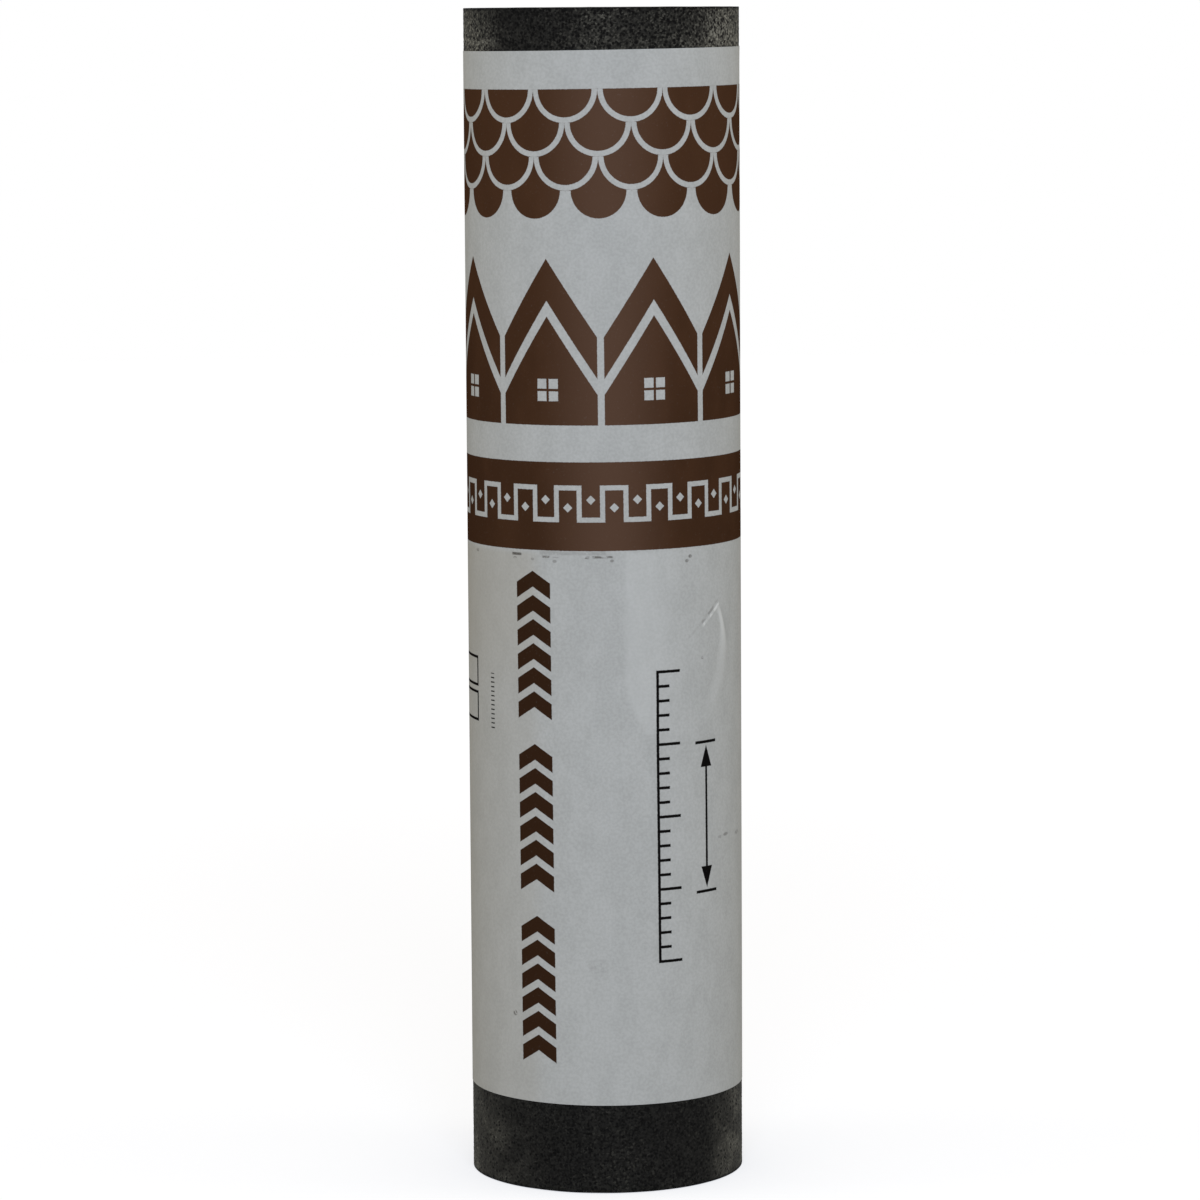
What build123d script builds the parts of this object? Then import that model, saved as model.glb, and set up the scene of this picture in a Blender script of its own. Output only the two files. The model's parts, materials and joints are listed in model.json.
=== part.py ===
"""A roll of mineral-surfaced roofing felt, standing on its end in its paper wrapper.

The felt is wound as half turns about two centres, a quarter of its thickness either side of the bore's axis.
Each half turn then runs on into the next one further in, so the turns on the ends are one spiral, and the
sheet's outer end is a real step down the back of the roll.

Millimetres. +Z is up the roll, -Y is the front, and the origin is on the bore's axis at the lower end.
"""

import os
from math import acos, degrees, pi, sqrt

from build123d import *

# The felt
sheet_width = 914.4  # 36 in, the height of the roll
sheet_length = 10972.8  # 36 ft of felt in the roll
sheet_thickness = 3.1  # with its mineral surface
bore_radius = 25.0  # left by the winding mandrel
gap_width = 0.7  # of the gap that shows between two turns
gap_depth = 0.9  # of that gap below the edge of the turn inside it

# The paper wrapper
paper_thickness = 0.3
felt_shown_above = 31.9  # bare felt above the paper
felt_shown_below = 69.5  # bare felt below the paper
paper_lap = 38.0  # how far the paper's glued end reaches over its start
paper_lap_start = 35.0  # degrees round the roll from +X to the hidden edge of that lap

# What the sheet's own sizes give
roll_radius = sqrt(bore_radius**2 + sheet_thickness * sheet_length / pi)
centre_offset = sheet_thickness / 4
right_radius = roll_radius + centre_offset
left_radius = roll_radius - centre_offset
right_centre = (0, centre_offset, 0)
left_centre = (0, -centre_offset, 0)


def turn_radii(outer_radius):
    """Outer radius of each turn after the first in one half of the roll, from the outside in to the bore."""
    innermost = bore_radius + centre_offset + gap_width
    turns = int((outer_radius - innermost) / sheet_thickness)
    return [outer_radius - turn * sheet_thickness for turn in range(1, turns + 1)]


def half_section(outer_radius):
    """Outline of one half of the roll, as radius and height, with a gap beside each turn on both ends.

    A turn's edge is level with the ends on its outer side and falls inwards to the foot of the next gap. The
    outermost turn's edge is flat, to stand on.
    """
    radii = turn_radii(outer_radius)
    lower = [(bore_radius / 2, 0)]
    for radius in reversed(radii):
        lower += [(radius - gap_width, 0), (radius, gap_depth)]
    lower += [(radii[0] + gap_width, 0), (outer_radius, 0)]
    upper = [(radius, sheet_width - height) for radius, height in reversed(lower)]
    return lower + upper


# The felt roll: each half is turned about its own winding centre, the right half from the front to the back
# and the left half from the back to the front
with BuildPart() as felt_roll:
    with BuildSketch(Plane(right_centre, x_dir=(0, -1, 0), z_dir=(-1, 0, 0))) as right_section:
        with BuildLine():
            Polyline(*half_section(right_radius), close=True)
        make_face()
    revolve(axis=Axis(right_centre, (0, 0, 1)), revolution_arc=180)

    with BuildSketch(Plane(left_centre, x_dir=(0, 1, 0), z_dir=(1, 0, 0))) as left_section:
        with BuildLine():
            Polyline(*half_section(left_radius), close=True)
        make_face()
    revolve(axis=Axis(left_centre, (0, 0, 1)), revolution_arc=180)

    Hole(bore_radius)
felt_roll.part.label = "felt_roll"

# The paper wrapper lies on both halves and is pulled straight across the foot of the sheet's outer end
wrapper_height = sheet_width - felt_shown_above - felt_shown_below
bridge_angle = degrees(acos(left_radius / (left_radius + sheet_thickness)))

with BuildPart() as paper_wrapper:
    with BuildSketch(Plane.XY.offset(felt_shown_below)) as paper_ring:
        with BuildLine():
            right_arc = CenterArc(right_centre, right_radius, -90, 180)
            left_arc = CenterArc(left_centre, left_radius, 90 + bridge_angle, 180 - bridge_angle)
            Line(right_arc @ 1, left_arc @ 0)
        make_face()
        around_the_felt = paper_ring.face()
        offset(amount=paper_thickness)
        add(around_the_felt, mode=Mode.SUBTRACT)
    extrude(amount=wrapper_height)

    # The glued end of the paper, lying over its start
    lap_radius = right_radius + paper_thickness
    lap_plane = Plane(right_centre, x_dir=(1, 0, 0), z_dir=(0, -1, 0))
    with BuildSketch(lap_plane.rotated((0, 0, paper_lap_start))) as lap_section:
        with Locations((lap_radius, felt_shown_below)):
            Rectangle(paper_thickness, wrapper_height, align=(Align.MIN, Align.MIN))
    revolve(axis=Axis(right_centre, (0, 0, 1)), revolution_arc=degrees(paper_lap / lap_radius))
paper_wrapper.part.label = "paper_wrapper"

os.makedirs("parts", exist_ok=True)
for piece in (felt_roll.part, paper_wrapper.part):
    export_step(piece, f"parts/{piece.label}.step")
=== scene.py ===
"""Looks of a roll of roofing felt that stands on its end in a printed paper wrapper.

Laid out as a Blender add-on and run as a script. Sizes are metres unless a name ends in _mm, and the print's
own sizes are millimetres. +Z is up the roll and -Y is its front. Places on the paper are given as round, the
way round to the right from the front, and up, the height above the floor.
"""

import json
from math import acos, cos, hypot, pi, radians, sin, sqrt, tan
from random import Random

import bmesh
import bpy
from bpy.props import FloatProperty, FloatVectorProperty, IntProperty, PointerProperty
from mathutils import Matrix, Vector, noise


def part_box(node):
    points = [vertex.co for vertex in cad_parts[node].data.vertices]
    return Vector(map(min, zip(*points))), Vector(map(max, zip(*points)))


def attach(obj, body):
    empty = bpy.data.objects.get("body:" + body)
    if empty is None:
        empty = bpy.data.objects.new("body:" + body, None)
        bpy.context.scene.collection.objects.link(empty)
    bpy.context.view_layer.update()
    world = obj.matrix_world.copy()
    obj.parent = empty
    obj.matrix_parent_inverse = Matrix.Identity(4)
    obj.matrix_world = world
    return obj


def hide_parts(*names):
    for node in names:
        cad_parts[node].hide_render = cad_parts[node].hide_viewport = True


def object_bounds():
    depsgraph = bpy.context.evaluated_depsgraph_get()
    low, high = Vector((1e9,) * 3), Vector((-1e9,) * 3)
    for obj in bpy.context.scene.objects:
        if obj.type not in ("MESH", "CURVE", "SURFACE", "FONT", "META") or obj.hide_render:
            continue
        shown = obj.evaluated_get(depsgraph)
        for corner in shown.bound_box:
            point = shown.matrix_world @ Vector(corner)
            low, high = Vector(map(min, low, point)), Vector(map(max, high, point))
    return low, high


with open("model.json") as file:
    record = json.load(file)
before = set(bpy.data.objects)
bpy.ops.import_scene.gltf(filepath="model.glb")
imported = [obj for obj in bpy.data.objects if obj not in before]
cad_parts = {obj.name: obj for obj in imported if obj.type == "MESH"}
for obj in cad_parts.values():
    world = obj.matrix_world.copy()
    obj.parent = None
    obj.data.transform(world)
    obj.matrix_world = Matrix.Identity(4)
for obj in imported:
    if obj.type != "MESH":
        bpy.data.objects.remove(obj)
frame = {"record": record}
cad_low, cad_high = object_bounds()

bl_info = {
    "name": "Roofing Felt Roll",
    "version": (1, 0, 0),
    "blender": (4, 5, 0),
    "location": "View3D > Sidebar > Felt Roll",
    "description": "Models a roll of mineral-surfaced roofing felt and its paper wrapper",
    "category": "Add Mesh",
}

MM = 0.001
SHARP_ANGLE = radians(14)

# Rows of Blender's noise that the wandering edges and gaps of the felt are read from
UPPER_EDGE_ROW, LOWER_EDGE_ROW, GAP_ROW = 1.0, 2.0, 3.0
OUTER_UPPER_EDGE_ROW, OUTER_LOWER_EDGE_ROW = 4.0, 5.0

# The map that each piece's colours are baked through, and how far inside its edges a sheet lies
BAKE_MAP = "OFBake"
MAP_MARGIN = 0.002

# The inner turns on that map: a disc for each end, lower and upper, and a strip for the bore's wall
DISC_MIDDLES = (0.2, 0.6)
DISC_REACH = (0.195, 0.48)
BORE_STRIP = 0.18

# The outer turn on that map: how its height is shared out round the sheet's section, from the lower end up,
# with a narrow strip for the side that faces inwards
GIRTH_LOWER_END = 0.08
GIRTH_BARE_LOW = 0.45
GIRTH_COVERED = 0.05
GIRTH_BARE_HIGH = 0.3
GIRTH_OVER_END = 0.05
GIRTH_OUTSIDE = (0.04, 0.91)
INSIDE_STRIP = (0.95, 0.99)

# Sizes that the frame gives
felt_low, felt_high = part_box("felt_roll")
paper_low, paper_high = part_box("paper_wrapper")
ROLL_HEIGHT = felt_high.z
ROLL_RADIUS = -felt_low.y
SHEET_THICKNESS = 2 * (felt_high.y + felt_low.y)
BORE_RADIUS = next(m["dims"]["r_mm"] for m in frame["record"]["mounts"] if m["name"] == "bore") * MM
PAPER_BOTTOM = paper_low.z
PAPER_TOP = paper_high.z
PAPER_HEIGHT = PAPER_TOP - PAPER_BOTTOM
UNDER_PAPER = 4 * MM  # how far the grains go on under the edges of the paper

# The sheet is wound as half turns about two centres, so that each runs on into the next one further in
CENTRE_OFFSET = SHEET_THICKNESS / 4
RIGHT_CENTRE = Vector((0, CENTRE_OFFSET, 0))
LEFT_CENTRE = Vector((0, -CENTRE_OFFSET, 0))
RIGHT_RADIUS = ROLL_RADIUS + CENTRE_OFFSET
LEFT_RADIUS = ROLL_RADIUS - CENTRE_OFFSET
HALF_TURNS = int(2 * (ROLL_RADIUS - BORE_RADIUS) / SHEET_THICKNESS)


def length(name, default, description):
    """A length setting in metres."""
    return FloatProperty(name=name, description=description, default=default, unit="LENGTH", precision=5)


def colour(name, default, description):
    """A colour setting, as linear values."""
    return FloatVectorProperty(
        name=name, description=description, default=default, subtype="COLOR", size=3, min=0.0, max=1.0
    )


def angle(name, degrees, description):
    """An angle setting, given in degrees."""
    return FloatProperty(name=name, description=description, default=radians(degrees), subtype="ANGLE")


def power(name, default, description):
    """The power of a light."""
    return FloatProperty(name=name, description=description, default=default, unit="POWER")


class FeltSettings(bpy.types.PropertyGroup):
    """Sizes and colours of the felt."""

    turn_gap: length("Turn Gap", 0.00018, "Least gap between two turns")
    gap_wander: length("Gap Wander", 0.0004, "How much wider the gap gets where the winding is loose")
    edge_rounding: length("Edge Rounding", 0.0006, "Radius of the sheet's worn edges")
    edge_wander: length("Edge Wander", 0.0017, "How far a turn's edge falls back from the ends of the roll")
    turn_step: length("Turn Step", 0.009, "Length of a face along the inner turns")
    grain_size: length("Grain Size", 0.00115, "Width of a mineral grain on the bare felt")
    grain_relief: length("Grain Relief", 0.00042, "Height of the mineral grains")
    black: colour("Black", (0.0035, 0.0035, 0.0037), "Bitumen between the grains")
    grain: colour("Grain", (0.0155, 0.0155, 0.0149), "Coated mineral grains")
    pale_grain: colour("Pale Grain", (0.15, 0.148, 0.13), "Grains with their coating worn off")
    # Also a painted grazing sheen at the roll's left and right sides
    dust_and_sheen: colour("Dust And Sheen", (0.19, 0.187, 0.166), "Dusty grains, and a painted grazing sheen at the left and right sides")
    seed: IntProperty(name="Seed", description="Start of the random draws", default=11)


class PaperSettings(bpy.types.PropertyGroup):
    """Sizes and colours of the wrapper."""

    thickness: length("Thickness", 0.00018, "Thickness of the paper")
    stand: length("Stand", 0.0002, "Height of the paper's face above the felt")
    lap: length("Lap", 0.038, "How far the paper's glued end reaches over its start")
    lap_start: angle("Lap Start", 35, "Place of the hidden edge of the lap, round the roll from +X")
    upper_skew: angle("Upper Skew", 0.653, "How far the paper's upper edge is out of square with the roll")
    lower_skew: angle("Lower Skew", -0.213, "How far the paper's lower edge is out of square with the roll")
    print_lean: angle("Print Lean", 0.4, "How far the printed columns lean to the left going up")
    row_step: length("Row Step", 0.005, "Height of a face of the paper")
    column_step: length("Column Step", 0.0033, "Width of a face of the paper")
    slack_lift: length("Slack Lift", 0.0009, "How far the slack part of the paper lifts off the felt")
    crease_lift: length("Crease Lift", 0.0003, "Height of the crease beside the slack part")
    edge_lift: length("Edge Lift", 0.0003, "How far the paper's edges lift off the felt")
    paper: colour("Paper", (0.396, 0.411, 0.424), "Grey paper")
    paper_shade: colour("Paper Shade", (0.338, 0.352, 0.361), "Darker fibres in the paper")
    # Colour that the paper is darkened and warmed towards at the left, below the band
    left_tone: colour("Left Tone", (0.327, 0.312, 0.28), "Darker, warmer paper at the left, below the band")
    brown: colour("Brown Ink", (0.0411, 0.0195, 0.0105), "Printed bands and figures")
    # Painted highlight: the front light's sheen on the ink, painted into its colour
    painted_ink_sheen: colour("Painted Ink Sheen", (0.079, 0.0445, 0.0305), "Painted sheen of the front light on the brown ink, at the front")
    dark: colour("Dark Ink", (0.0045, 0.0042, 0.0042), "Thin printed lines")
    # Also painted shade on the fold's dark side
    soil_and_fold_shade: colour("Soil And Fold Shade", (0.09, 0.085, 0.08), "Scuffs and smudges, and painted shade on the fold's dark side")


class StageSettings(bpy.types.PropertyGroup):
    """Floor, light and camera."""

    floor_radius: length("Floor Radius", 9.0, "Radius of the floor")
    floor: colour("Floor", (0.8, 0.8, 0.79), "Pale floor")
    near_glow: colour("Near Glow", (0.6, 0.615, 0.652), "What makes the lit floor white beside the roll")
    far_glow: colour("Far Glow", (0.695, 0.712, 0.755), "What makes the lit floor white further away")
    fill: colour("Fill", (0.635, 0.59, 0.505), "Light from all round")
    side: colour("Side", (1.0, 0.97, 0.88), "Light from high on both sides")
    side_power: power("Side Power", 2.4, "Power of each side light")
    key: colour("Key", (0.776, 0.859, 1.0), "Light from the front")
    key_power: power("Key Power", 103.0, "Power of the front light")
    camera_distance: length("Camera Distance", 3.9331, "From the camera to the roll's axis")
    camera_height: length("Camera Height", 0.9246, "Of the camera above the floor")
    camera_aside: length("Camera Aside", -0.00285, "Of the camera to the right of the roll's axis")
    camera_pitch: angle("Camera Pitch", 6.8643, "How far the camera looks down")
    camera_roll: angle("Camera Roll", -0.354, "Turn of the camera about its own line of sight")
    focal_length: FloatProperty(
        name="Focal Length", description="Of the camera, in millimetres", default=151.086
    )


class Shade:
    """One output of a node tree. Python's operators on it add Math nodes."""

    def __init__(self, tree, socket=None):
        self.tree = tree
        self.socket = socket

    def node(self, kind, settings=None, inputs=None, output=0):
        """Adds a node of this type, with its settings first and then its inputs, and gives one output."""
        made = self.tree.nodes.new(kind)
        for name, value in (settings or {}).items():
            setattr(made, name, value)
        for name, value in (inputs or {}).items():
            socket = made.inputs[name]
            if isinstance(value, Shade):
                self.tree.links.new(value.socket, socket)
            elif socket.type == "RGBA":
                socket.default_value = (*value, 1.0)
            else:
                socket.default_value = value
        return Shade(self.tree, made.outputs[output] if made.outputs else None)

    def math(self, operation, *values):
        return self.node("ShaderNodeMath", {"operation": operation}, dict(enumerate(values)))

    def __add__(self, other):
        return self.math("ADD", self, other)

    __radd__ = __add__

    def __sub__(self, other):
        return self.math("SUBTRACT", self, other)

    def __rsub__(self, other):
        return self.math("SUBTRACT", other, self)

    def __mul__(self, other):
        return self.math("MULTIPLY", self, other)

    __rmul__ = __mul__

    def __truediv__(self, other):
        return self.math("DIVIDE", self, other)

    def __mod__(self, other):
        return self.math("FLOORED_MODULO", self, other)

    def __neg__(self):
        return self.math("MULTIPLY", self, -1)

    def __abs__(self):
        return self.math("ABSOLUTE", self)

    def floor(self):
        return self.math("FLOOR", self)

    def root(self):
        return self.math("SQRT", self)

    def clamped(self):
        return self.node("ShaderNodeClamp", inputs={"Value": self})

    def ramp(self, low, high):
        """Rises smoothly from 0 to 1 as this value goes from low to high, or falls if low is the higher."""
        return self.node(
            "ShaderNodeMapRange",
            {"interpolation_type": "SMOOTHSTEP"},
            {"Value": self, "From Min": low, "From Max": high},
        )

    def blend(self, first, second):
        """Colour that goes from first to second as this value goes from 0 to 1."""
        return self.node("ShaderNodeMix", {"data_type": "RGBA"}, {0: self, 6: first, 7: second}, 2)

    def parts(self):
        """The three parts of a vector."""
        split = self.node("ShaderNodeSeparateXYZ", inputs={0: self}).socket.node
        return [Shade(self.tree, socket) for socket in split.outputs]

    def stretched(self, factors):
        """A vector with each part multiplied by its own factor."""
        return self.node("ShaderNodeVectorMath", {"operation": "MULTIPLY"}, {0: self, 1: factors})

    def noise(self, size, detail=2.0):
        """Noise from about 0.3 to 0.7 at this place, with features of this size."""
        return self.node("ShaderNodeTexNoise", None, {"Vector": self, "Scale": 1 / size, "Detail": detail})


def least(first, *others):
    """Smallest of several values, which is where shapes overlap when they are distances inside an edge."""
    for other in others:
        first = first.math("MINIMUM", first, other)
    return first


def most(first, *others):
    """Largest of several values, which joins shapes that are distances inside an edge."""
    for other in others:
        first = first.math("MAXIMUM", first, other)
    return first


def new_material(name):
    """An empty node material, and what its nodes are built from."""
    material = bpy.data.materials.new(name)
    material.use_nodes = True
    material.node_tree.nodes.clear()
    return material, Shade(material.node_tree)


def cover(paint, base, roughness, specular, relief):
    """Ends a material in one shader. relief is the strength, depth and height of its bump."""
    strength, depth, height = relief
    bump = paint.node("ShaderNodeBump", None, {"Strength": strength, "Distance": depth, "Height": height})
    surface = paint.node(
        "ShaderNodeBsdfPrincipled",
        None,
        {"Base Color": base, "Roughness": roughness, "Specular IOR Level": specular, "Normal": bump},
    )
    paint.node("ShaderNodeOutputMaterial", None, {"Surface": surface})


def toned(tint, factor):
    """A colour made lighter or darker by a factor."""
    return tuple(min(1.0, factor * part) for part in tint)


def clamp(value, low=0.0, high=1.0):
    """A value kept between two limits."""
    return min(max(value, low), high)


def smooth_step(value, low, high):
    """Rises smoothly from 0 to 1 as value goes from low to high, or falls if low is the higher."""
    share = clamp((value - low) / (high - low))
    return share * share * (3 - 2 * share)


def add_piece(name, bm, material):
    """Makes an object of a finished bmesh, and lets it ride on the roll."""
    mesh = bpy.data.meshes.new(name)
    bm.to_mesh(mesh)
    bm.free()
    mesh.materials.append(material)
    piece = bpy.data.objects.new(name, mesh)
    bpy.context.scene.collection.objects.link(piece)
    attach(piece, "root")
    return piece


def lay_map(bm, place):
    """Lays the faces out on the map that their colours are baked through. place gives a corner's place."""
    layer = bm.loops.layers.uv.new(BAKE_MAP)
    for face in bm.faces:
        for loop in face.loops:
            loop[layer].uv = place(face, loop.vert)


def inset(share):
    """A share of the map's width or height, kept a little inside its edges."""
    return MAP_MARGIN + (1 - 2 * MAP_MARGIN) * share


def sweep(bm, geometry, ring, run, distance, steps, **turn):
    """Spins a section on by this distance, and notes on each new point how far along the sheet it lies."""
    along = bm.verts.layers.float["along"]
    first = len(bm.verts)
    turn.setdefault("cent", (0, 0, 0))
    turn.setdefault("axis", (0, 0, 1))
    last = bmesh.ops.spin(bm, geom=geometry, steps=steps, **turn)["geom_last"]
    bm.verts.ensure_lookup_table()
    if len(bm.verts) != first + ring * steps:
        raise RuntimeError("A sweep made other points than its section has")
    for index in range(first, len(bm.verts)):
        step = (index - first) // ring + 1
        bm.verts[index][along] = run + distance * step / steps
    return last, run + distance


def half_turn(index):
    """Winding centre and outer radius of a half turn of the felt, counted from the sheet's outer end."""
    turns_in = (index // 2) * SHEET_THICKNESS
    if index % 2 == 0:
        return RIGHT_CENTRE, RIGHT_RADIUS - turns_in
    return LEFT_CENTRE, LEFT_RADIUS - turns_in


def outward(point):
    """Direction straight out from the winding centre of the half of the roll that a point is on."""
    centre = RIGHT_CENTRE if point.x > 0 else LEFT_CENTRE
    away = point - centre
    away.z = 0
    return away.normalized()


def new_sheet():
    """A bmesh whose points hold how far along the sheet and round its section they lie, and whether mineral
    grains are on them.
    """
    bm = bmesh.new()
    for name in ("along", "grain", "girth"):
        bm.verts.layers.float.new(name)
    return bm


def felt_section(bm, half, settings):
    """The felt's cross-section at the back of the roll, where an even half turn starts, as one face."""
    centre, radius = half_turn(half)
    thickness = SHEET_THICKNESS - settings.turn_gap
    middle = centre.y + radius - thickness / 2
    corners = bmesh.ops.create_grid(bm, x_segments=1, y_segments=1, size=0.5)["verts"]
    stand_up = Matrix(
        ((0, 0, 1, 0), (thickness, 0, 0, middle), (0, ROLL_HEIGHT, 0, ROLL_HEIGHT / 2), (0, 0, 0, 1))
    )
    bmesh.ops.transform(bm, matrix=stand_up, verts=corners)
    bmesh.ops.bevel(
        bm,
        geom=corners,
        offset=settings.edge_rounding,
        affect="VERTICES",
        segments=3,
        profile=0.5,
        material=-1,
    )
    bm.faces.ensure_lookup_table()
    return bm.faces[0]


def wind_felt(bm, section, first, count, step, last_share=1.0):
    """Winds the sheet inwards from its section through a number of half turns."""
    least_steps = 22
    ring = len(section.verts)
    end, run = [section], 0.0
    for half in range(first, first + count):
        centre, radius = half_turn(half)
        swing = pi * (last_share if half == first + count - 1 else 1)
        steps = max(least_steps, round(swing * radius / step))
        end, run = sweep(
            bm, end, ring, run, swing * radius, steps, cent=centre, axis=(0, 0, -1), angle=swing
        )
    bmesh.ops.recalc_face_normals(bm, faces=bm.faces)


def runs_along(bm, edge):
    """Whether an edge is level and goes along the sheet."""
    along = bm.verts.layers.float["along"]
    first, second = edge.verts
    return abs(first.co.z - second.co.z) < 0.001 * MM and first[along] != second[along]


def edge_fall(run, depth, row):
    """How far a turn's edge falls back from the end of the roll, at this distance along the sheet."""
    slow = noise.noise((run * 5.0, row, 0.0))
    quick = noise.noise((run * 42.0, row, 7.0))
    return depth * clamp(0.45 + 0.6 * slow + 0.25 * quick)


def split_for_grain(bm, section, settings):
    """Divides the outer edge of the section finely where the felt is bare, and marks it to carry grains."""
    grain = bm.verts.layers.float["grain"]
    face = max(vert.co.y for vert in section.verts)
    covered_low, covered_high = PAPER_BOTTOM + UNDER_PAPER, PAPER_TOP - UNDER_PAPER

    def outer_edges():
        return [e for e in section.edges if min(v.co.y for v in e.verts) > face - 0.01 * MM]

    for height in (covered_low, covered_high):
        for edge in outer_edges():
            foot, head = sorted(edge.verts, key=lambda v: v.co.z)
            if foot.co.z < height < head.co.z:
                bmesh.utils.edge_split(edge, foot, (height - foot.co.z) / edge.calc_length())
                break
        else:
            raise RuntimeError("No edge of the felt's section passes the edge of the paper")
    for edge in outer_edges():
        if covered_low < sum(v.co.z for v in edge.verts) / 2 < covered_high:
            continue
        for vert in edge.verts:
            vert[grain] = 1.0
        cuts = round(edge.calc_length() / settings.grain_size) - 1
        bmesh.ops.subdivide_edges(bm, edges=[edge], cuts=cuts)


def mark_girth(bm, section):
    """Notes on the section how far round it each point lies, with most of the way left to the bare felt."""
    girth = bm.verts.layers.float["girth"]
    face = max(vert.co.y for vert in section.verts)
    for vert in section.verts:
        up = vert.co.z
        vert[girth] = (
            GIRTH_LOWER_END
            + GIRTH_BARE_LOW * clamp(up / PAPER_BOTTOM)
            + GIRTH_COVERED * clamp((up - PAPER_BOTTOM) / PAPER_HEIGHT)
            + GIRTH_BARE_HIGH * clamp((up - PAPER_TOP) / (ROLL_HEIGHT - PAPER_TOP))
        )
        over_end = GIRTH_OVER_END * (face - vert.co.y) / SHEET_THICKNESS
        vert[girth] += over_end if up > ROLL_HEIGHT / 2 else -over_end


def scatter_grains(bm, settings):
    """Moves the points of the bare felt at random, so that each is a grain that stands out or a gap.

    The order in which Blender keeps the points changes from run to run, so they are taken column by column.
    """
    along = bm.verts.layers.float["along"]
    grain = bm.verts.layers.float["grain"]
    grains = sorted((vert for vert in bm.verts if vert[grain] >= 0.5), key=lambda v: v[along])
    rows = sum(vert[along] == 0 for vert in grains)
    if len(grains) % rows:
        raise RuntimeError("The grains don't lie in even columns")
    draw = Random(settings.seed)
    spread = 0.62 * settings.grain_size
    for first in range(0, len(grains), rows):
        for vert in sorted(grains[first : first + rows], key=lambda v: v.co.z):
            out = outward(vert.co)
            aside = Vector((-out.y, out.x, 0))
            sink = settings.grain_relief * draw.random()
            vert.co += aside * spread * (draw.random() - 0.5) - out * sink
            vert.co.z += spread * (draw.random() - 0.5)


def grain_cells(paint, place, size):
    """Mineral grains of about this size: how far it is to a grain's middle, and its three random shares."""
    cells = paint.node("ShaderNodeTexVoronoi", None, {"Vector": place, "Scale": 1 / size})
    return cells, Shade(paint.tree, cells.socket.node.outputs["Color"]).parts()


def mineral_felt(settings):
    """Black felt with a bonded layer of mineral grains, dusty and with a painted grazing sheen at the left
    and right sides, more so at the top.
    """
    material, paint = new_material("mineral_felt")
    place = paint.node("ShaderNodeTexCoord", output=3)
    cells, (worn, coated, dusty) = grain_cells(paint, place, 1.3 * settings.grain_size)
    holes, (lost, shallow, _) = grain_cells(paint, place, 2.1 * settings.grain_size)
    x, _, z = place.parts()
    clouds = place.noise(0.03, 5).ramp(0.4, 0.66)
    fine = place.noise(0.0017, 2).ramp(0.4, 0.64)

    # Pits where grains are lost, and parts of the roll as shares from 0 to 1
    upper = z.ramp(PAPER_BOTTOM, PAPER_TOP)
    pitted = lost.ramp(0.45 + 0.25 * upper, 0.36 + 0.25 * upper)
    pit = pitted * (holes + 0.25 * shallow - 0.12 * upper).ramp(0.72, 0.36)
    left = x.ramp(-0.65 * ROLL_RADIUS, -ROLL_RADIUS)
    right = x.ramp(0.7 * ROLL_RADIUS, ROLL_RADIUS * (1 - 0.13 * upper))
    middle = x.ramp(-0.5 * ROLL_RADIUS, 0.0)
    haze = x.ramp(-0.35 * ROLL_RADIUS, -0.7 * ROLL_RADIUS)
    from_end = least(z, ROLL_HEIGHT - z).ramp(0.5 * MM, 3 * MM)
    low_in_felt = most(z.ramp(ROLL_HEIGHT, PAPER_TOP) * upper, z.ramp(PAPER_BOTTOM, 0.4 * PAPER_BOTTOM))

    # Coated grains, and pale ones that have lost their coat
    coat = (coated * (1 - 0.85 * pit)).blend(settings.black, settings.grain)
    bared = most(left, right, middle) * upper
    pale = worn.ramp(0.8, 0.99) * (0.03 + 0.1 * clouds + bared * (0.14 + 0.14 * clouds))
    specked = pale.blend(coat, settings.pale_grain)

    # Stone dust, and a painted grazing sheen in its colour at the left and right sides
    at_top = upper * (0.085 * middle + 0.28 * left + 0.4 * right + 0.03 * low_in_felt)
    # Painted sheen: more of the dust's colour at the left and right sides stands in for grazing light
    dust_and_sheen_amount = 0.01 + 0.04 * haze * (1 - upper) + 0.28 * left + 0.34 * right + at_top
    speckle = (0.2 + 1.3 * fine) * (0.3 + 2.1 * dusty * dusty)
    grainy = 0.4 + 0.3 * upper
    cloudy = 0.45 + 0.2 * upper + (0.9 - 0.4 * upper) * clouds
    uneven = cloudy * (1 - grainy + grainy * speckle) * (0.68 + 0.55 * low_in_felt)
    dusted = (dust_and_sheen_amount * uneven * from_end * (1 - 0.95 * pit)).clamped()
    base = dusted.blend(specked, settings.dust_and_sheen)
    roughness = 0.62 + 0.2 * pale + 0.15 * dusted
    cover(paint, base, roughness, 0.02, (0.6, settings.grain_relief, 1 - cells))
    return material


def felt_edges(settings):
    """Cut edges of the wound felt: bitumen with pale fibres and stone dust."""
    material, paint = new_material("felt_edges")
    place = paint.node("ShaderNodeTexCoord", output=3)
    cells, (worn, coated, _) = grain_cells(paint, place, settings.grain_size)
    fibres = place.stretched((1.0, 1.0, 0.4)).noise(0.0012, 3).ramp(0.5, 0.68)
    clouds = place.noise(0.018, 4).ramp(0.4, 0.68)
    coat = coated.blend(settings.black, settings.grain)
    dusted = (0.04 + 0.22 * fibres * (0.3 + 0.7 * clouds)).blend(coat, settings.dust_and_sheen)
    specked = (0.4 * worn.ramp(0.82, 0.99)).blend(dusted, settings.pale_grain)
    cover(paint, specked, 0.88 - 0.18 * clouds, 0.03, (0.7, 0.3 * MM, fibres - 0.5 * cells))
    return material


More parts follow.
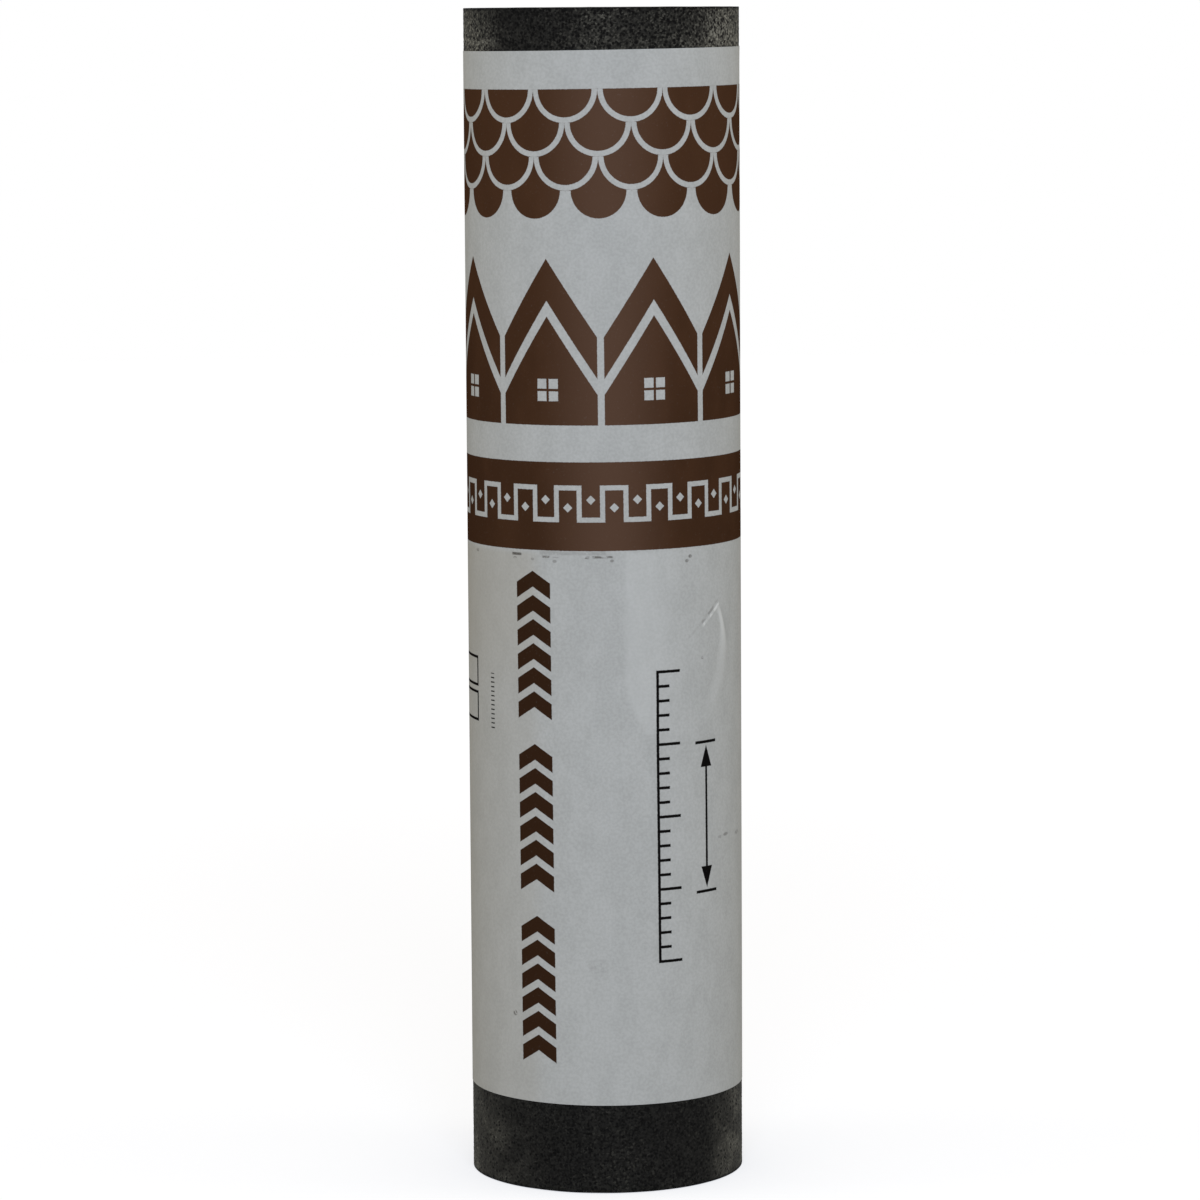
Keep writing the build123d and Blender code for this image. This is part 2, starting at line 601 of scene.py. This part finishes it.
class FELTROLL_OT_inner_turns(bpy.types.Operator):
    """Winds the felt from the end of its outer turn in to the bore"""

    bl_idname = "felt_roll.inner_turns"
    bl_label = "Wind Inner Turns"

    def execute(self, context):
        settings = context.scene.felt_settings
        bm = new_sheet()
        section = felt_section(bm, 2, settings)
        wind_felt(bm, section, 2, HALF_TURNS - 2, settings.turn_step, last_share=0.8)
        along = bm.verts.layers.float["along"]
        for vert in bm.verts:
            run = vert[along]
            upper = vert.co.z > ROLL_HEIGHT / 2
            fall = edge_fall(run, settings.edge_wander, UPPER_EDGE_ROW if upper else LOWER_EDGE_ROW)
            loose = settings.gap_wander * clamp(0.3 + noise.noise((run * 3.1, GAP_ROW, 0.0)))
            inner = vert.normal.dot(outward(vert.co)) < -0.3
            vert.co += outward(vert.co) * (loose if inner else 0.0)
            vert.co.z += -fall if upper else fall

        whole = max(vert[along] for vert in bm.verts)
        bore_run = 2 * pi * (BORE_RADIUS + 2 * SHEET_THICKNESS)

        def on_end(face, vert):
            heights = [corner.co.z for corner in face.verts]
            inwards = face.normal.dot(outward(face.calc_center_median())) < -0.5
            in_bore = inwards and min(corner[along] for corner in face.verts) > whole - bore_run
            if in_bore and max(heights) - min(heights) > ROLL_HEIGHT / 2:
                to_inner_end = (whole - vert[along]) / bore_run
                return 1 - BORE_STRIP * to_inner_end, 0.01 + 0.98 * vert.co.z / ROLL_HEIGHT
            middle = DISC_MIDDLES[max(heights) > ROLL_HEIGHT / 2]
            across, deep = vert.co.x / ROLL_RADIUS, vert.co.y / ROLL_RADIUS
            return middle + DISC_REACH[0] * across, 0.5 + DISC_REACH[1] * deep

        lay_map(bm, on_end)
        piece = add_piece("felt_inner_turns", bm, felt_edges(settings))
        piece.data.shade_smooth()
        piece.data.set_sharp_from_angle(angle=SHARP_ANGLE)
        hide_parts("felt_roll")
        return {"FINISHED"}


class FELTROLL_OT_outer_turn(bpy.types.Operator):
    """Winds the felt's outer turn, with mineral grains where it is bare"""

    bl_idname = "felt_roll.outer_turn"
    bl_label = "Wind Outer Turn"

    def execute(self, context):
        settings = context.scene.felt_settings
        bm = new_sheet()
        section = felt_section(bm, 0, settings)
        split_for_grain(bm, section, settings)
        mark_girth(bm, section)
        grains_a_step = 4
        wind_felt(bm, section, 0, 2, grains_a_step * settings.grain_size)
        level = [edge for edge in bm.edges if runs_along(bm, edge)]
        bmesh.ops.subdivide_edges(bm, edges=level, cuts=grains_a_step - 1, use_grid_fill=True)
        scatter_grains(bm, settings)
        along = bm.verts.layers.float["along"]
        grain = bm.verts.layers.float["grain"]
        for vert in bm.verts:
            upper = vert.co.z > ROLL_HEIGHT / 2
            if min(vert.co.z, ROLL_HEIGHT - vert.co.z) < 2 * settings.edge_rounding:
                row = OUTER_UPPER_EDGE_ROW if upper else OUTER_LOWER_EDGE_ROW
                fall = edge_fall(vert[along], 0.25 * settings.edge_wander, row)
                vert.co.z += -fall if upper else fall
        for face in bm.faces:
            face.smooth = not any(vert[grain] > 0.5 for vert in face.verts)
        girth = bm.verts.layers.float["girth"]
        whole = max(vert[along] for vert in bm.verts)
        lowest, highest = GIRTH_OUTSIDE

        def unrolled(face, vert):
            up = vert[girth]
            if all(not lowest < corner[girth] < highest for corner in face.verts):
                up = INSIDE_STRIP[up >= 0.5]
            return inset(vert[along] / whole), up

        lay_map(bm, unrolled)
        piece = add_piece("felt_outer_turn", bm, mineral_felt(settings))
        piece.data.set_sharp_from_angle(angle=SHARP_ANGLE)
        return {"FINISHED"}


# Where the paper is slack, in millimetres round and up: a tongue below the printed band
SLACK_LEFT_MM = 16.0
SLACK_RIGHT_MM = 113.0
SLACK_FOOT_MM = 348.0
SLACK_SHOULDER_MM = 405.0
SLACK_TOP_MM = 499.0
CREASE_MIDDLE_MM = 421.0
CREASE_BOW = 0.0085
CREASE_SHARPENS_MM = (402.0, 444.0)

# How far the paper ripples, and the room between its glued end and its start
RIPPLE_LIFT = 0.06 * MM
LAP_ROOM = 0.06 * MM

# Just below the foot of the printed band, where the slack part and the grime begin
BELOW_BAND_MM = (502.0, 497.0)


def slack_left(below_shoulder):
    """Left edge of the slack part, which bends in below its shoulder. Takes numbers and shader values."""
    share = below_shoulder / (SLACK_SHOULDER_MM - SLACK_FOOT_MM)
    return SLACK_LEFT_MM + 26 * share * share


def crease_place(up_mm):
    """Right edge of the slack part, where the paper is creased. Takes numbers and shader values."""
    rise = up_mm - CREASE_MIDDLE_MM
    return SLACK_RIGHT_MM - CREASE_BOW * rise * rise


def paper_lift(round_mm, up_mm, settings):
    """How far the paper stands off at a place, where it is slack, creased or loose at its edges."""
    left, right = slack_left(max(SLACK_SHOULDER_MM - up_mm, 0.0)), crease_place(up_mm)
    ends = smooth_step(up_mm, SLACK_FOOT_MM - 8, SLACK_FOOT_MM + 55)
    ends *= smooth_step(up_mm, SLACK_TOP_MM + 12, SLACK_TOP_MM - 30)
    rise = smooth_step(round_mm, left - 2, left + 9) * smooth_step(round_mm, right + 4, left + 20)
    crease_ends = smooth_step(up_mm, 350, 372) * smooth_step(up_mm, 462, 446)
    fall = 11 - 7 * smooth_step(up_mm, *CREASE_SHARPENS_MM)
    ridge = smooth_step(round_mm, right - 10, right) * smooth_step(round_mm, right + fall, right)
    from_edge = min(up_mm - PAPER_BOTTOM / MM, PAPER_TOP / MM - up_mm)
    loose = max(noise.noise((round_mm / 55, up_mm / 400, 9.0)) + 0.1, 0.0) * max(1 - from_edge / 14, 0.0)
    ripple = noise.noise((round_mm / 30, up_mm / 120, 4.0))
    lift = settings.slack_lift * rise * ends + settings.crease_lift * ridge * crease_ends
    return lift + settings.edge_lift * loose + RIPPLE_LIFT * ripple


def wrap_paper(bm, settings):
    """Spins the paper's hidden start edge once round the felt, over its outer end, and on over itself."""
    stand, start = settings.stand, settings.lap_start
    right, left = RIGHT_RADIUS + stand, LEFT_RADIUS + stand
    felt_end = Vector((0, RIGHT_CENTRE.y + RIGHT_RADIUS, 0))
    fold = acos(LEFT_RADIUS / (LEFT_RADIUS + SHEET_THICKNESS))
    bridge = sqrt((LEFT_RADIUS + SHEET_THICKNESS) ** 2 - LEFT_RADIUS**2)
    bridge_way = Vector((-cos(fold), -sin(fold), 0))

    foot = RIGHT_CENTRE + right * Vector((cos(start), sin(start), 0))
    low = bm.verts.new(foot + Vector((0, 0, PAPER_BOTTOM)))
    high = bm.verts.new(foot + Vector((0, 0, PAPER_TOP)))
    edge = bm.edges.new((low, high))
    rows = round(PAPER_HEIGHT / settings.row_step)
    bmesh.ops.subdivide_edges(bm, edges=[edge], cuts=rows - 1)
    end, run, ring = bm.verts[:] + bm.edges[:], 0.0, rows + 1

    def arc(swing, centre, radius, step=settings.column_step):
        distance = swing * radius
        steps = max(3, round(distance / step))
        return sweep(bm, end, ring, run, distance, steps, cent=centre, angle=swing)

    end, run = arc(pi / 2 - start, RIGHT_CENTRE, right)
    end, run = arc(fold, felt_end, stand)
    steps = round(bridge / settings.column_step)
    end, run = sweep(bm, end, ring, run, bridge, steps, dvec=bridge_way * bridge / steps)
    end, run = arc(pi - fold, LEFT_CENTRE, left)
    front = run
    plain, creased = radians(14), radians(50)
    end, run = arc(plain, RIGHT_CENTRE, right)
    end, run = arc(creased, RIGHT_CENTRE, right, settings.column_step * 0.55)
    end, run = arc(pi / 2 + start - plain - creased, RIGHT_CENTRE, right)
    over = run - front
    arc(settings.lap / right, RIGHT_CENTRE, right)
    return front, over


def round_slates(round_mm, up_mm):
    """Frieze of four courses of round-ended slates, with bare lines between them."""
    foot, head = 751.2, 853.4
    radius, line, overlap = (head - foot) / 4, 4.2, 1.0
    course = ((head - up_mm) / radius).floor()
    down = head - up_mm - course * radius
    across = (round_mm + course * radius) % (2 * radius) - radius
    outside = (across * across + down * down).root() - radius
    next_course = least(outside, up_mm - foot - radius + overlap)
    return least(up_mm - foot - line / 2, head - up_mm, most(-outside - line, next_course))


def gable_row(round_mm, up_mm):
    """Row of steep gabled houses, each under its own roof."""
    apex, foot, half_width, fall = 725.1, 597.9, 42.0, 1.52
    roof, gap, slit, pane, bar, window_height = 32.0, 12.0, 2.6, 8.5, 1.0, 27.0
    across = abs(round_mm % (2 * half_width) - half_width)
    below = (apex - fall * across - up_mm) / hypot(1, fall)
    thick, under = roof / hypot(1, fall), (roof + gap) / hypot(1, fall)
    apart = half_width - slit - across
    house = least(below - under, up_mm - foot)
    to_window = abs(up_mm - (foot + window_height))
    light = least(pane - across, pane - to_window, least(across, to_window) - bar)
    return least(apart, most(least(below, thick - below), least(house, -light)))


def key_band(round_mm, up_mm):
    """Solid band with a bare squared line along it and a bare diamond in each bend."""
    foot, head, middle, half_height = 501.6, 569.8, 537.8, 14.2
    pitch, half_line, diamond, off_middle = 36.0, 1.9, 3.6, 3.0
    bend = pitch / 2
    along = round_mm % pitch
    height = up_mm - middle
    post = half_line - least(abs(along - bend), along, pitch - along)
    to_upper, to_lower = abs(along - bend / 2), abs(along - 1.5 * bend)
    rail = half_height - half_line
    upper = least(bend / 2 - to_upper, half_line - abs(height - rail))
    lower = least(bend / 2 - to_lower, half_line - abs(height + rail))
    line = most(least(post, half_height - abs(height)), upper, lower)
    in_upper = diamond - to_upper - abs(height + off_middle)
    in_lower = diamond - to_lower - abs(height - off_middle)
    return least(up_mm - foot, head - up_mm, -line, -most(in_upper, in_lower))


def chevron_column(round_mm, up_mm):
    """Column of stacked chevrons that point up the roll, in three groups."""
    middle, half_width, head, fall = -57.2, 15.0, 485.5, 0.62
    groups, group_pitch, strokes, stroke_pitch, stroke = 3, 134.5, 6, 18.7, 12.4
    across = abs(round_mm - middle)
    down = head - up_mm - fall * across
    in_group = down % group_pitch
    in_stroke = in_group % stroke_pitch
    chevron = least(in_stroke, stroke - in_stroke) / hypot(1, fall)
    spare = (stroke_pitch - stroke) / 2
    group = least(strokes * stroke_pitch - spare - in_group, down, groups * group_pitch - spare - down)
    return least(half_width - across, group, chevron)


def measuring_lines(round_mm, up_mm):
    """Thin ruler line with ticks, and a shorter line beside it with an arrow head at each end."""
    half_line, ruler, ruler_foot, ruler_head = 1.15, 41.2, 181.0, 407.0
    tick_pitch, long_tick, short_tick, ticks_a_long = 11.3, 19.5, 10.0, 5
    aside = round_mm - ruler
    span = least(up_mm - ruler_foot, ruler_head - up_mm) + half_line

    def ticks(pitch, reach):
        to_tick = abs((up_mm - ruler_foot + pitch / 2) % pitch - pitch / 2)
        return least(half_line - to_tick, aside, reach - aside)

    stem = half_line - abs(aside)
    long_ticks = ticks(ticks_a_long * tick_pitch, long_tick)
    rule = least(span, most(stem, ticks(tick_pitch, short_tick), long_ticks))

    arrow, middle, half_length, head_length, head_width = 87.0, 290.5, 56.0, 17.0, 0.36
    tip, stop_gap, stop_reach = 3.0, 2.5, 11.5
    to_line, to_end = abs(round_mm - arrow), half_length - abs(up_mm - middle)
    shaft = least(half_line - to_line, to_end - tip)
    head = least(to_end * head_width - to_line, head_length - to_end)
    stop = least(stop_reach - to_line, half_line - abs(to_end + stop_gap))
    return most(rule, shaft, head, stop)


def tally_marks(round_mm, up_mm):
    """Column of short dashes, and two open boxes further round to the left."""
    dash, half_width, half_line = -101.6, 2.3, 0.5
    dash_pitch, dash_foot, dash_head = 3.55, 358.0, 402.5
    to_dash = abs((up_mm - dash_foot) % dash_pitch - dash_pitch / 2)
    column = least(up_mm - dash_foot, dash_head - up_mm)
    dashes = least(half_width - abs(round_mm - dash), half_line - to_dash, column)

    box, box_length, box_height, box_pitch, box_line, box_foot = -150.0, 25.0, 12.0, 27.5, 2.2, 362.0
    to_box = abs((up_mm - box_foot) % box_pitch - box_height)
    inside = least(box_length - abs(round_mm - box), box_height - to_box)
    pair = least(up_mm - box_foot, box_foot + 2 * box_pitch - up_mm)
    return most(dashes, least(inside, box_line - inside, pair))


def fold_line(round_mm, up_mm):
    """Short sharp fold below the head of the crease: shares of its pale side, where highlight is painted,
    and of its dark side and faint tail, where shade is painted.
    """
    foot_round, foot_up, reach = 84.4, 439.6, 26.5
    right, rise = 0.79, 0.61
    ahead = (round_mm - foot_round) * right + (up_mm - foot_up) * rise
    above = (up_mm - foot_up) * right - (round_mm - foot_round) * rise
    on_fold = ahead.ramp(-1, 3) * ahead.ramp(reach + 1, reach - 3)
    on_tail = ahead.ramp(-reach, -reach / 2) * ahead.ramp(2, -2)
    pale = above.ramp(-2.0, -0.9) * above.ramp(1.4, 0.5)
    dark = above.ramp(0.9, 1.8) * above.ramp(4.2, 2.9)
    return pale * on_fold, dark * on_fold, dark * on_tail


def scuff_marks(place, round_mm, up_mm):
    """Dark scuffs just under the band and at the right, a smear and a smudge, as a share from 0 to 1."""
    streaks = place.stretched((0.3, 0.3, 1.6)).noise(0.003, 4)
    grit = place.noise(0.0022, 3)

    def patch(middle, height, half_width, half_height):
        away = (round_mm - middle) / half_width
        apart = (up_mm - height) / half_height
        return (away * away + apart * apart).root().ramp(1.0, 0.45)

    def line(first, last, height, half_height):
        ends = least(round_mm - first, last - round_mm).ramp(0, 2)
        return ends * abs(up_mm - height).ramp(half_height, 0.4 * half_height)

    rubs = most(
        0.95 * line(-77.5, -66.5, 497.9, 1.5),
        0.7 * line(-49.5, -41.5, 496.7, 1.2),
        0.3 * line(-41, -34, 496.4, 0.9),
        0.9 * line(-15.2, -9.6, 496.5, 1.3),
        0.8 * line(-9.4, 8, 496.9, 1.2),
    )
    crumbs = most(
        0.5 * patch(-73.8, 494.9, 2.2, 1.3),
        0.5 * patch(-123, 496.8, 4.0, 1.7),
        0.4 * patch(-57.2, 494.5, 2.0, 1.5),
        0.45 * patch(-38.3, 493.4, 2.4, 1.7),
        0.55 * patch(6.5, 494, 2.0, 1.5),
        0.75 * patch(71.8, 494.6, 2.1, 1.9),
        0.65 * patch(68.6, 491.3, 2.2, 1.8),
    )
    at_right = most(
        patch(114.2, 273, 5, 1.8),
        0.6 * patch(105.6, 272.2, 4, 1.7),
        0.7 * patch(137, 271.3, 6, 2.2),
    )
    smear = line(-52, 3, 499.8, 2.0)
    smudge = patch(-5.8, 178.3, 11, 8) * grit.ramp(0.35, 0.65)
    marks = most(
        rubs * streaks.ramp(0.36, 0.48),
        0.2 * smear,
        crumbs,
        0.5 * at_right,
        0.75 * patch(-77.2, 137.7, 2.6, 2.8),
        0.5 * patch(83.9, 414.9, 1.8, 1.8),
    )
    return most(marks * grit.ramp(0.3, 0.44), 0.16 * smudge)


def printed_paper(settings):
    """Grey wrapping paper with brown bands and figures printed round it, scuffed and a little mottled, with
    painted highlight and shade at its slack part, crease and fold, and a painted sheen on the ink at the
    front.
    """
    material, paint = new_material("printed_paper")
    place = paint.node("ShaderNodeTexCoord", output=3)
    along, height, _ = paint.node("ShaderNodeUVMap", {"uv_map": "sheet"}).parts()
    round_mm, up_mm = along / MM, height / MM
    below_band = up_mm.ramp(*BELOW_BAND_MM)

    # Paper with darker fibres and blotches, and a darker, warmer tone at the left below the band
    fibres = place.noise(0.0021, 4)
    blotches = place.stretched((1.0, 1.0, 0.6)).noise(0.016, 3)
    mottle = (0.65 * fibres.ramp(0.34, 0.66) + 0.35 * blotches.ramp(0.36, 0.64)).clamped()
    bare = mottle.blend(settings.paper_shade, settings.paper)
    at_left = round_mm.ramp(-46, -64) * round_mm.ramp(-230, -170)
    left_darkening = at_left * below_band * (0.26 + 0.16 * up_mm.ramp(380, 440))
    bare = left_darkening.blend(bare, settings.left_tone)

    # The slack part, the crease at its right and the fold below the crease's head, with painted highlight on
    # the slack part, the crease and the fold's pale side, and painted shade beside the crease and on the
    # fold's dark side
    past_left = round_mm - slack_left(most(SLACK_SHOULDER_MM - up_mm, 0.0))
    slack = past_left.ramp(-2.5, 4.0) * round_mm.ramp(70, 26)
    slack = slack * up_mm.ramp(SLACK_FOOT_MM - 5, SLACK_FOOT_MM + 30) * below_band
    past_crease = round_mm - crease_place(up_mm)
    crease_ends = up_mm.ramp(352, 392) * up_mm.ramp(458, 444)
    head = up_mm.ramp(*CREASE_SHARPENS_MM)
    inner_side = past_crease.ramp(-16 + 11 * head, -4 + 3 * head)
    outer_side = past_crease.ramp(10 - 8 * head, -2 + 2 * head)
    crease = inner_side * outer_side * crease_ends * (0.4 + 0.6 * head)
    crease_flank_shade = past_crease.ramp(0.6, 2.4) * past_crease.ramp(14, 3) * crease_ends * (0.2 + 0.8 * head)
    fold, fold_dark, fold_tail = fold_line(round_mm, up_mm)
    broken_fold_highlight = fold * (0.35 + 0.65 * place.noise(0.005, 2).ramp(0.42, 0.54))
    # Painted shade along the right side of the crease
    bare = (0.4 * crease_flank_shade).blend(bare, toned(settings.paper_shade, 0.9))
    # Painted highlight on the slack part and the crease, where they face the light
    bare = (0.4 * slack + 0.8 * crease).clamped().blend(bare, toned(settings.paper, 1.16))
    # Painted highlight on the fold's pale side, broken into dashes, and on the crease's head
    bare = most(broken_fold_highlight, 0.55 * crease * head).blend(bare, toned(settings.paper, 1.36))
    flecks = place.noise(0.0062, 2).ramp(0.47, 0.56)
    # Painted shade: the fold's dark side and tail are added to the scuffs and painted in the soil colour
    marks = most(scuff_marks(place, round_mm, up_mm), 0.38 * fold_dark * flecks, 0.08 * fold_tail)

    # Where ink is printed, with edges that are a little soft and ragged
    half_way = (PAPER_BOTTOM + PAPER_TOP) / 2 / MM
    across = round_mm + (up_mm - half_way) * tan(settings.print_lean)
    figures = most(
        round_slates(across, up_mm),
        gable_row(across, up_mm),
        key_band(across, up_mm),
        chevron_column(across, up_mm),
    )
    lines = most(measuring_lines(across, up_mm), tally_marks(across, up_mm))
    softness = 0.4
    ragged = 0.7 * (place.noise(0.0009, 2) - 0.5)
    full = 1 - 0.05 * place.noise(0.0016, 3).ramp(0.6, 0.8)
    brown, dark = [((shape + ragged) / softness + 0.5).clamped() * full for shape in (figures, lines)]

    # Brown ink, thin in patches and higher up, with a painted sheen of the front light at the front, and
    # deeper below the band
    patchy = place.stretched((1.0, 1.0, 0.5)).noise(0.022, 4).ramp(0.4, 0.68)
    thinned = (0.5 * patchy + 0.75 * up_mm.ramp(540, 800)).clamped()
    inked = thinned.blend(settings.brown, toned(settings.brown, 1.3))
    # Painted sheen: the ink is made lighter round the front, where the front light's highlight falls
    inked = abs(round_mm - 4).ramp(63, 0).blend(inked, settings.painted_ink_sheen)
    inked = up_mm.ramp(501, 498).blend(inked, toned(settings.brown, 0.7))
    inked = brown.blend(bare, inked)
    inked = dark.blend(inked, settings.dark)
    soiled_and_shaded = marks.blend(inked, settings.soil_and_fold_shade)

    relief = 0.06 * fibres + 0.12 * place.noise(0.006, 2) + 0.3 * crease + 0.3 * fold - 0.2 * fold_dark
    cover(paint, soiled_and_shaded, 0.75 - 0.1 * brown + 0.1 * mottle, 0.0, (0.5, 1 * MM, relief))
    return material


class FELTROLL_OT_wrapper(bpy.types.Operator):
    """Wraps the printed paper once round the felt"""

    bl_idname = "felt_roll.wrapper"
    bl_label = "Wrap Paper"

    def execute(self, context):
        settings = context.scene.paper_settings
        bm = new_sheet()
        front, over = wrap_paper(bm, settings)
        along = bm.verts.layers.float["along"]
        sheet = bm.loops.layers.uv.new("sheet")
        for face in bm.faces:
            for loop in face.loops:
                loop[sheet].uv = (loop.vert[along] - front, loop.vert.co.z)
        whole = max(vert[along] for vert in bm.verts)

        def unrolled(face, vert):
            return inset(vert[along] / whole), inset((vert.co.z - PAPER_BOTTOM) / PAPER_HEIGHT)

        lay_map(bm, unrolled)
        lap_rise = settings.thickness + LAP_ROOM
        ramp_length = 9 * MM
        for vert in bm.verts:
            place = vert[along] - front
            lift = paper_lift(place / MM, vert.co.z / MM, settings)
            lift += lap_rise * smooth_step(place, over - ramp_length, over - 1 * MM)
            share = (vert.co.z - PAPER_BOTTOM) / PAPER_HEIGHT
            skew = settings.lower_skew + share * (settings.upper_skew - settings.lower_skew)
            vert.co += outward(vert.co) * lift
            vert.co.z += vert.co.x * tan(skew)
            vert.co.x = clamp(vert.co.x, cad_low.x, cad_high.x)
            vert.co.y = clamp(vert.co.y, cad_low.y, cad_high.y)
        bm.normal_update()
        bm.faces.ensure_lookup_table()
        if bm.faces[0].normal.dot(outward(bm.faces[0].calc_center_median())) < 0:
            bmesh.ops.reverse_faces(bm, faces=bm.faces)
        for face in bm.faces:
            face.smooth = True
        for edge in bm.edges:
            edge.smooth = not edge.is_boundary
        piece = add_piece("printed_wrapper", bm, printed_paper(settings))
        thick = piece.modifiers.new("paper_thickness", "SOLIDIFY")
        thick.thickness = settings.thickness
        thick.offset = -1.0
        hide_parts("paper_wrapper")
        return {"FINISHED"}


def seen_or_mirrored(paint):
    """1 for a ray from the camera, a mirror or glass, and 0 for light that falls on something."""
    rays = paint.node("ShaderNodeLightPath").socket.node.outputs
    kinds = ("Camera", "Glossy", "Transmission")
    return most(*(Shade(paint.tree, rays[f"Is {kind} Ray"]) for kind in kinds))


def pale_floor(settings):
    """Pale floor that is seen as white and keeps the roll's shadow."""
    material, paint = new_material("pale_floor")
    shadow_share = 0.5
    plain = paint.node("ShaderNodeBsdfDiffuse", None, {"Color": settings.floor})
    grey = paint.node("ShaderNodeBsdfDiffuse", None, {"Color": (shadow_share,) * 3})
    x, y, _ = paint.node("ShaderNodeTexCoord", output=3).parts()
    away = (x * x + y * y).root()
    near, far = 0.3, 3.0
    glow = away.ramp(near, far).blend(settings.near_glow, settings.far_glow)
    white = paint.node("ShaderNodeEmission", None, {"Color": glow})
    shown = paint.node("ShaderNodeAddShader", None, {0: grey, 1: white})
    surface = paint.node("ShaderNodeMixShader", None, {0: seen_or_mirrored(paint), 1: plain, 2: shown})
    paint.node("ShaderNodeOutputMaterial", None, {"Surface": surface})
    return material


class FELTROLL_OT_stage(bpy.types.Operator):
    """Sets up the floor, the light and the camera"""

    bl_idname = "felt_roll.stage"
    bl_label = "Set Stage"

    def execute(self, context):
        settings = context.scene.stage_settings
        scene = context.scene
        scene.view_settings.view_transform = "Standard"
        self.lay_floor(scene, settings)
        self.light(scene, settings)
        self.place_camera(scene, settings)
        return {"FINISHED"}

    def lay_floor(self, scene, settings):
        bm = bmesh.new()
        bmesh.ops.create_circle(bm, cap_ends=True, segments=96, radius=settings.floor_radius)
        below_roll = 0.2 * MM
        bmesh.ops.translate(bm, verts=bm.verts, vec=(0, 0, -below_roll))
        mesh = bpy.data.meshes.new("floor")
        bm.to_mesh(mesh)
        bm.free()
        mesh.materials.append(pale_floor(settings))
        floor = bpy.data.objects.new("floor", mesh)
        scene.collection.objects.link(floor)

    def light(self, scene, settings):
        world = bpy.data.worlds.new("studio")
        world.use_nodes = True
        world.node_tree.nodes.clear()
        paint = Shade(world.node_tree)
        fill = paint.node("ShaderNodeBackground", None, {"Color": settings.fill})
        white = paint.node("ShaderNodeBackground", None, {"Color": (1, 1, 1)})
        light = paint.node("ShaderNodeMixShader", None, {0: seen_or_mirrored(paint), 1: fill, 2: white})
        paint.node("ShaderNodeOutputWorld", None, {"Surface": light})
        scene.world = world

        front, middle = (0.25, -4.4, 2.0), 0.5 * ROLL_HEIGHT
        self.hang_lamp(scene, "front_light", settings.key, settings.key_power, 2.4, front, middle)
        for name, x in (("left_light", -1.0), ("right_light", 1.0)):
            aside, high = (x, -0.1, 1.6), 0.9 * ROLL_HEIGHT
            self.hang_lamp(scene, name, settings.side, settings.side_power, 0.5, aside, high)

    def hang_lamp(self, scene, name, tint, watts, size, place, aim_height):
        """A square lamp that shines at the roll's axis at this height, and isn't seen itself."""
        lamp = bpy.data.lights.new(name, "AREA")
        lamp.size = size
        lamp.energy = watts
        lamp.color = tint
        hung = bpy.data.objects.new(name, lamp)
        hung.location = place
        aim = Vector((0, 0, aim_height)) - hung.location
        hung.rotation_euler = aim.to_track_quat("-Z", "Y").to_euler()
        hung.visible_camera = False
        scene.collection.objects.link(hung)

    def place_camera(self, scene, settings):
        lens = bpy.data.cameras.new("camera")
        lens.lens = settings.focal_length
        lens.sensor_width = 36.0
        camera = bpy.data.objects.new("camera", lens)
        eye = (settings.camera_aside, -settings.camera_distance, settings.camera_height)
        camera.matrix_world = (
            Matrix.Translation(eye)
            @ Matrix.Rotation(pi / 2 - settings.camera_pitch, 4, "X")
            @ Matrix.Rotation(settings.camera_roll, 4, "Z")
        )
        scene.collection.objects.link(camera)
        scene.camera = camera


class FELTROLL_PT_panel(bpy.types.Panel):
    """Lists the roll's pieces and their settings"""

    bl_label = "Felt Roll"
    bl_idname = "FELTROLL_PT_panel"
    bl_space_type = "VIEW_3D"
    bl_region_type = "UI"
    bl_category = "Felt Roll"

    def draw(self, context):
        scene = context.scene
        for operator in OPERATORS:
            self.layout.operator(operator.bl_idname)
        for settings in (scene.felt_settings, scene.paper_settings, scene.stage_settings):
            box = self.layout.box()
            for name in settings.bl_rna.properties.keys():
                if name not in ("rna_type", "name"):
                    box.prop(settings, name)


SETTINGS = {
    "felt_settings": FeltSettings,
    "paper_settings": PaperSettings,
    "stage_settings": StageSettings,
}
OPERATORS = (
    FELTROLL_OT_inner_turns,
    FELTROLL_OT_outer_turn,
    FELTROLL_OT_wrapper,
    FELTROLL_OT_stage,
)
CLASSES = (*SETTINGS.values(), *OPERATORS, FELTROLL_PT_panel)


def register():
    for cls in CLASSES:
        bpy.utils.register_class(cls)
    for name, group in SETTINGS.items():
        setattr(bpy.types.Scene, name, PointerProperty(type=group))


def unregister():
    for name in SETTINGS:
        delattr(bpy.types.Scene, name)
    for cls in reversed(CLASSES):
        bpy.utils.unregister_class(cls)


def main():
    register()
    bpy.ops.felt_roll.inner_turns()
    bpy.ops.felt_roll.outer_turn()
    bpy.ops.felt_roll.wrapper()
    bpy.ops.felt_roll.stage()


if __name__ == "__main__":
    main()
